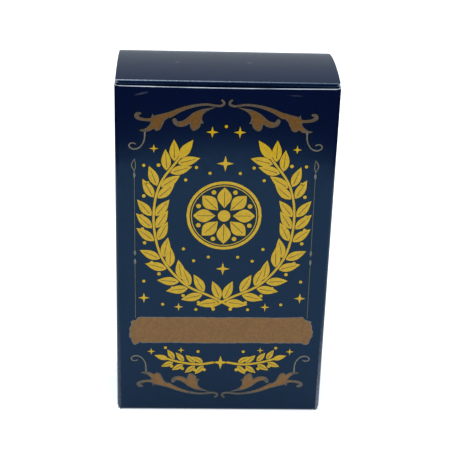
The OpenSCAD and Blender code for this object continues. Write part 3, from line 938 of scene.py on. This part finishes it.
def sprig(path, leaf_len, leaf_w, spacing, splay):
    """Laurel branch: its twig, leaves in pairs and one at the tip, and berries; and the leaves' ribs."""
    line = curve(path)
    knots = enumerate(line[::CURVE_STEPS])
    twig = stroke([(p.x, p.y, TWIG_HALF_W * (1 - TWIG_TAPER * k / len(line))) for k, p in knots])
    leaves, berries, ribs = [], [], []
    gone, wanted = 0.0, spacing * FIRST_LEAF
    for a, b in zip(line, line[1:]):
        gone += (b - a).length
        if gone < wanted:
            continue
        wanted += spacing
        heading = math.degrees(math.atan2((b - a).y, (b - a).x))
        for side in (1, -1):
            root = b + LEAF_SET_OFF * toward(heading + side * 90)
            tip = root + leaf_len * toward(heading + side * splay)
            leaves.append(leaf(root, tip, leaf_w))
            ribs.append(stroke([(*root.lerp(tip, share), half_width) for share, half_width in LEAF_RIB]))
        berries.append(disc(b + (leaf_len * BERRY_REACH) * toward(heading - 90), BERRY_R, BERRY_STEPS))
    end = line[-1]
    ahead = (line[-1] - line[-2]).normalized()
    leaves.append(leaf(end - ahead * TIP_LEAF_OVERLAP, end + ahead * leaf_len, leaf_w))
    return [twig] + leaves + berries, ribs


WREATH = [(-3.5, 42.5), (3.5, 46.5), (13.0, 51.5), (20.8, 61.5), (23.6, 75.0), (21.8, 88.0), (15.0, 98.5)]
LOW_SPRIG = [(2.5, 20.0), (8.0, 19.2), (14.0, 20.0), (19.0, 21.5)]
# Path, leaf length and width, spacing along the twig and splay in degrees
SPRIGS = ((WREATH, 7.6, 3.2, 5.4, 38), (LOW_SPRIG, 4.6, 2.0, 3.6, 40))
# Stars as middle and radius, and dots; all that lie off the panel's middle come in pairs
STARS = [((0, 96.5), 2.8), ((0, 57.5), 2.4), ((4.5, 107.5), 2.0), ((23.5, 101.5), 1.5),
         ((27.0, 46.0), 2.0), ((15.0, 42.5), 1.6), ((0, 20.0), 2.8), ((24.5, 24.5), 1.4),
         ((14.0, 25.0), 1.2)]
STAR_POINTS, STAR_WAIST = 4, 0.3
DOTS = [(9.5, 95.0), (13.0, 90.5), (10.0, 60.5), (13.5, 65.0), (5.0, 93.0), (5.0, 62.0), (20.5, 43.5),
        (9.0, 41.5), (27.0, 52.5), (26.8, 95.5), (8.0, 24.5), (19.5, 26.0), (0, 109.5)]
DOT_R, DOT_STEPS = 0.55, 12


def field_design():
    """Yellow design of the field: a rosette in a laurel wreath, stars, dots, and sprigs below the band."""
    solid, ribs = rosette()
    rings = []
    for inset, half_width in MEDAL_RINGS:
        rings += ring(MEDAL, MEDAL_R - inset, half_width)
    for values in SPRIGS:
        branch, veins = sprig(*values)
        solid += mirrored(branch)
        ribs += mirrored(veins)
    marks = [(centre, star(centre, radius, radius * STAR_WAIST)) for centre, radius in STARS]
    marks += [(centre, disc(centre, DOT_R, DOT_STEPS)) for centre in DOTS]
    for centre, outline in marks:
        solid += mirrored([outline]) if centre[0] else [outline]
    return solid, rings, ribs


def border_print():
    """The scroll border on the front, over the design's keyline, and on the back."""
    scrolls, fine_lines, top_hearts, foot_hearts = scroll_border()
    keylines = [grown(outline, KEYLINE) for outline in scrolls + fine_lines]
    for side, face_y, outward, layer in (("front", front_face_y, -1, 1), ("back", back_face_y, 1, 0)):
        film(f"{side}_scroll_keyline_print", keylines, KEY_INK, face_y, outward, layer)
        film(f"{side}_fine_line_print", fine_lines, FINE_LINE, face_y, outward, layer + 1)
        film(f"{side}_scroll_print", scrolls, SCROLL_INK, face_y, outward, layer + 1)
        # The top hearts take the bronze with painted shade, the foot hearts the plain bronze
        film(f"{side}_top_scroll_heart_print", top_hearts, BRONZE_WITH_PAINTED_SHADE, face_y, outward, layer + 2)
        film(f"{side}_foot_scroll_heart_print", foot_hearts, BRONZE, face_y, outward, layer + 2)


def front_print():
    """The field's design over its keyline, and the band over both."""
    solid, rings, ribs = field_design()
    front = (front_face_y, -1)
    keylines = [disc(MEDAL, MEDAL_R + KEYLINE)] + [grown(outline, KEYLINE) for outline in solid]
    film("front_keyline_print", keylines, KEY_INK, *front, 0)
    film("front_design_print", rings + solid, YELLOW, *front, 1)
    film("front_vein_print", ribs, KEY_INK, *front, 2)
    rim, heart = banner()
    film("front_band_rim_print", [rim], FINE_LINE, *front, 2)
    film("front_band_print", [heart], BRONZE, *front, 3)


border_print()
front_print()


# Cards: their solids keep their shape and get the stock's finish. Its fibres are far finer than a pixel, so
# they are drawn at 0.4 mm to show.
card_low, card_high = box_mm("card_major_00")
CARD_MIDDLE = (card_low + card_high) / 2
CARD_HALF = (card_high - card_low) / 2
CARD_PITCH = box_mm("card_major_01")[0].y - card_low.y
CARD_BORDER = 4.0
CARD_FRAME_LINE = 0.6
CARD_LATTICE_MM = 3.0
CARD_LINE_SPAN = {"From Min": 0.25, "From Max": 0.4, "To Min": 1.0, "To Max": 0.0}
CARD_FIBRE_MM, CARD_FIBRE_DEPTH = 0.4, 0.004
CARD_ROUGHNESS = {"To Min": 0.36, "To Max": 0.48}
CARD_IOR, CARD_SPECULAR = 1.48, 0.4
CARD_TONES = ("#e9e2d0", "#1d2c4b", "#c8a13a")
CARD_EDGE_TONES = ("#d8d0bc", "#a69c87")
# A printed side is where a card's normal looks forwards or backwards by more than this
FACING = 0.5


def card_stock():
    """Coated card stock printed on both sides and cut in a stack: creamy edges whose tone changes from card
    to card, a bordered lattice on the backs, and a thin frame line on the faces."""
    material, tree, place = new_material("coated_card_stock_guillotined")
    x, y, z = add_node(tree, "SeparateXYZ", {0: place}).outputs
    cream, navy, gold = [linear(tone) for tone in CARD_TONES]

    which = add_node(tree, "Math", {0: y, 1: CARD_PITCH}, operation="DIVIDE").outputs[0]
    which = add_node(tree, "Math", {0: which}, operation="FLOOR").outputs[0]
    tone = add_node(tree, "TexWhiteNoise", {"W": which}, noise_dimensions="1D").outputs["Value"]
    pale, dark = [linear(edge_tone) for edge_tone in CARD_EDGE_TONES]
    colour = add_node(tree, "Mix", {FACTOR: tone, COLOUR_A: pale, COLOUR_B: dark},
                      data_type="RGBA").outputs[COLOUR_OUT]

    off = add_node(tree, "VectorMath", {0: place, 1: CARD_MIDDLE}, operation="SUBTRACT").outputs[0]
    off = add_node(tree, "VectorMath", {0: off}, operation="ABSOLUTE").outputs[0]
    off = add_node(tree, "VectorMath", {0: off, 1: CARD_HALF}, operation="SUBTRACT").outputs[0]
    past_x, _, past_z = add_node(tree, "SeparateXYZ", {0: off}).outputs
    past = add_node(tree, "Math", {0: past_x, 1: past_z}, operation="MAXIMUM").outputs[0]
    zones = [add_node(tree, "Math", {0: past, 1: -margin}, operation="GREATER_THAN").outputs[0]
             for margin in (CARD_BORDER, CARD_BORDER + CARD_FRAME_LINE)]
    in_border, in_frame = zones

    lattice = []
    for operation in ("ADD", "SUBTRACT"):
        line = add_node(tree, "Math", {0: x, 1: z}, operation=operation).outputs[0]
        line = add_node(tree, "Math", {0: line, 1: CARD_LATTICE_MM}, operation="PINGPONG").outputs[0]
        lattice.append(add_node(tree, "MapRange", {"Value": line, **CARD_LINE_SPAN}).outputs[0])
    lattice = add_node(tree, "Math", {0: lattice[0], 1: lattice[1]}, operation="MAXIMUM").outputs[0]
    back = add_node(tree, "Mix", {FACTOR: lattice, COLOUR_A: navy, COLOUR_B: gold},
                    data_type="RGBA").outputs[COLOUR_OUT]
    face = add_node(tree, "Mix", {FACTOR: in_frame, COLOUR_A: cream, COLOUR_B: navy},
                    data_type="RGBA").outputs[COLOUR_OUT]
    normal = add_node(tree, "TexCoord").outputs["Normal"]
    _, facing, _ = add_node(tree, "SeparateXYZ", {0: normal}).outputs
    for printed, way in ((face, -1.0), (back, 1.0)):
        side = add_node(tree, "Mix", {FACTOR: in_border, COLOUR_A: printed, COLOUR_B: cream},
                        data_type="RGBA").outputs[COLOUR_OUT]
        toward_it = add_node(tree, "Math", {0: facing, 1: way}, operation="MULTIPLY").outputs[0]
        is_side = add_node(tree, "Math", {0: toward_it, 1: FACING}, operation="GREATER_THAN").outputs[0]
        colour = add_node(tree, "Mix", {FACTOR: is_side, COLOUR_A: colour, COLOUR_B: side},
                          data_type="RGBA").outputs[COLOUR_OUT]

    fibre = add_node(tree, "TexNoise", {"Vector": place, "Scale": 1 / CARD_FIBRE_MM, "Detail": 4.0})
    bump = add_node(tree, "Bump", {"Height": fibre.outputs[0], "Distance": CARD_FIBRE_DEPTH * MM})
    rough = add_node(tree, "MapRange", {"Value": fibre.outputs[0], **EVEN_SPAN, **CARD_ROUGHNESS})
    finish_material(tree, {"Base Color": colour, "Normal": bump.outputs[0], "Roughness": rough.outputs[0],
                           "IOR": CARD_IOR, "Specular IOR Level": CARD_SPECULAR})
    return material


stock = card_stock()
for name, node in frame["nodes"].items():
    if name.startswith("card"):
        node.data.materials.clear()
        node.data.materials.append(stock)


# Stage: a white sweep that glows a little, black cards for reflections, a softbox above and a pale room
FLOOR_REACH, FLOOR_DROP = 4000, 0.02
FLOOR_TONES, FLOOR_TONE_MM, FLOOR_TONE_SHARE = ("#f4f5f6", "#eceef0"), 60.0, 0.1
FLOOR_GLOW = 0.25
FLAG_NEAR, FLAG_FAR, FLAG_HIGH, FLAG_LIFT = 262, 1500, 1500, 0.5
FLAG_SIDES = 48
SOFTBOX_AT, SOFTBOX_SIZE, SOFTBOX_WATTS, SOFTBOX_TINT = (0, -150, 1300), 1400, 22, "#f4f8ff"
ROOM_TINT = "#e8f4fb"
ROOM_SPAN = {"From Min": 0.0, "From Max": 0.7, "To Min": 0.42, "To Max": 0.77}


def paper_sweep():
    """Matt white paper: an even white without gloss, with hardly any tone in it."""
    material, tree, place = new_material("white_paper_sweep_matt")
    soft = add_node(tree, "TexNoise", {"Vector": place, "Scale": 1 / FLOOR_TONE_MM}).outputs[0]
    share = add_node(tree, "MapRange", {"Value": soft, "To Max": FLOOR_TONE_SHARE}).outputs[0]
    white, grey = [linear(tone) for tone in FLOOR_TONES]
    colour = add_node(tree, "Mix", {FACTOR: share, COLOUR_A: white, COLOUR_B: grey},
                      data_type="RGBA").outputs[COLOUR_OUT]
    finish_material(tree, {"Base Color": colour, "Roughness": 0.9, "Specular IOR Level": 0.1,
                           "Emission Color": linear("#ffffff"), "Emission Strength": FLOOR_GLOW})
    return material


def black_card():
    """Dull black card: a reflection of it is simply dark."""
    material, tree, _ = new_material("black_flag_card")
    finish_material(tree, {"Base Color": linear("#050608"), "Roughness": 1.0, "Specular IOR Level": 0.0})
    return material


def flag(name, edges, finish):
    """Black card between two rows of points, which only reflections see."""
    mesh = bmesh.new()
    near, far = [[mesh.verts.new(Vector(p) * MM) for p in edge] for edge in edges]
    for k in range(len(near) - 1):
        mesh.faces.new([near[k], near[k + 1], far[k + 1], far[k]])
    card = add_object(name, mesh, [finish])
    for ray in ("camera", "diffuse", "shadow", "transmission"):
        setattr(card, f"visible_{ray}", False)


floor_mesh = bmesh.new()
bmesh.ops.create_grid(floor_mesh, x_segments=1, y_segments=1, size=FLOOR_REACH * MM)
floor = add_object("floor", floor_mesh, [paper_sweep()])
floor.location.z = -FLOOR_DROP * MM

black = black_card()
turns = spread(0, 360, FLAG_SIDES)
rims = [[(*(radius * toward(a)), FLAG_LIFT) for a in turns] for radius in (FLAG_NEAR, FLAG_FAR)]
flag("floor_flag", rims, black)
edges = [[(x, -FLAG_FAR, z) for x in (-FLAG_FAR, FLAG_FAR)] for z in (0, FLAG_HIGH)]
flag("front_flag", edges, black)

light = bpy.data.lights.new("overhead_softbox", "AREA")
light.size = SOFTBOX_SIZE * MM
light.energy = SOFTBOX_WATTS
light.color = linear(SOFTBOX_TINT)[:3]
lamp = bpy.data.objects.new("overhead_softbox", light)
lamp.location = Vector(SOFTBOX_AT) * MM
lamp.rotation_euler = (Vector() - Vector(SOFTBOX_AT)).to_track_quat("-Z", "Y").to_euler()
bpy.context.scene.collection.objects.link(lamp)

world = bpy.data.worlds.new("studio")
bpy.context.scene.world = world
world.use_nodes = True
tree = world.node_tree
tree.nodes.clear()
way = add_node(tree, "SeparateXYZ", {0: add_node(tree, "TexCoord").outputs["Generated"]})
height = add_node(tree, "MapRange", {"Value": way.outputs[2], **ROOM_SPAN})
room = add_node(tree, "Background", {"Color": linear(ROOM_TINT), "Strength": height.outputs[0]})
add_node(tree, "OutputWorld", {"Surface": room.outputs[0]})


# Camera at the photograph's angle: degrees, millimetres from the origin, aim across and up the view, and
# focal length in pixels
IMAGE_PX = 452
SENSOR_MM = 36
VIEW_ELEVATION, VIEW_AZIMUTH, VIEW_ROLL = 25.22, -2.61, 1.83
VIEW_DISTANCE = 460.5
VIEW_AIM = (3.36, 59.12)
FOCAL_PX = 1227.2
CLIP_NEAR, CLIP_FAR = 10, 100_000

level = toward(VIEW_ELEVATION)
around = toward(VIEW_AZIMUTH)
back = Vector((around.y * level.x, -around.x * level.x, level.y))
right = Vector((around.x, around.y, 0))
up = back.cross(right)
roll = toward(VIEW_ROLL)
right, up = roll.x * right + roll.y * up, roll.x * up - roll.y * right
camera = bpy.data.objects.new("camera", bpy.data.cameras.new("camera"))
spot = (VIEW_AIM[0] * right + VIEW_AIM[1] * up + VIEW_DISTANCE * back) * MM
camera.matrix_world = Matrix.Translation(spot) @ Matrix((right, up, back)).transposed().to_4x4()
camera.data.sensor_width = SENSOR_MM
camera.data.lens = FOCAL_PX / IMAGE_PX * SENSOR_MM
camera.data.clip_start, camera.data.clip_end = CLIP_NEAR * MM, CLIP_FAR * MM
bpy.context.scene.collection.objects.link(camera)
bpy.context.scene.camera = camera
bpy.context.scene.view_settings.view_transform = "Standard"
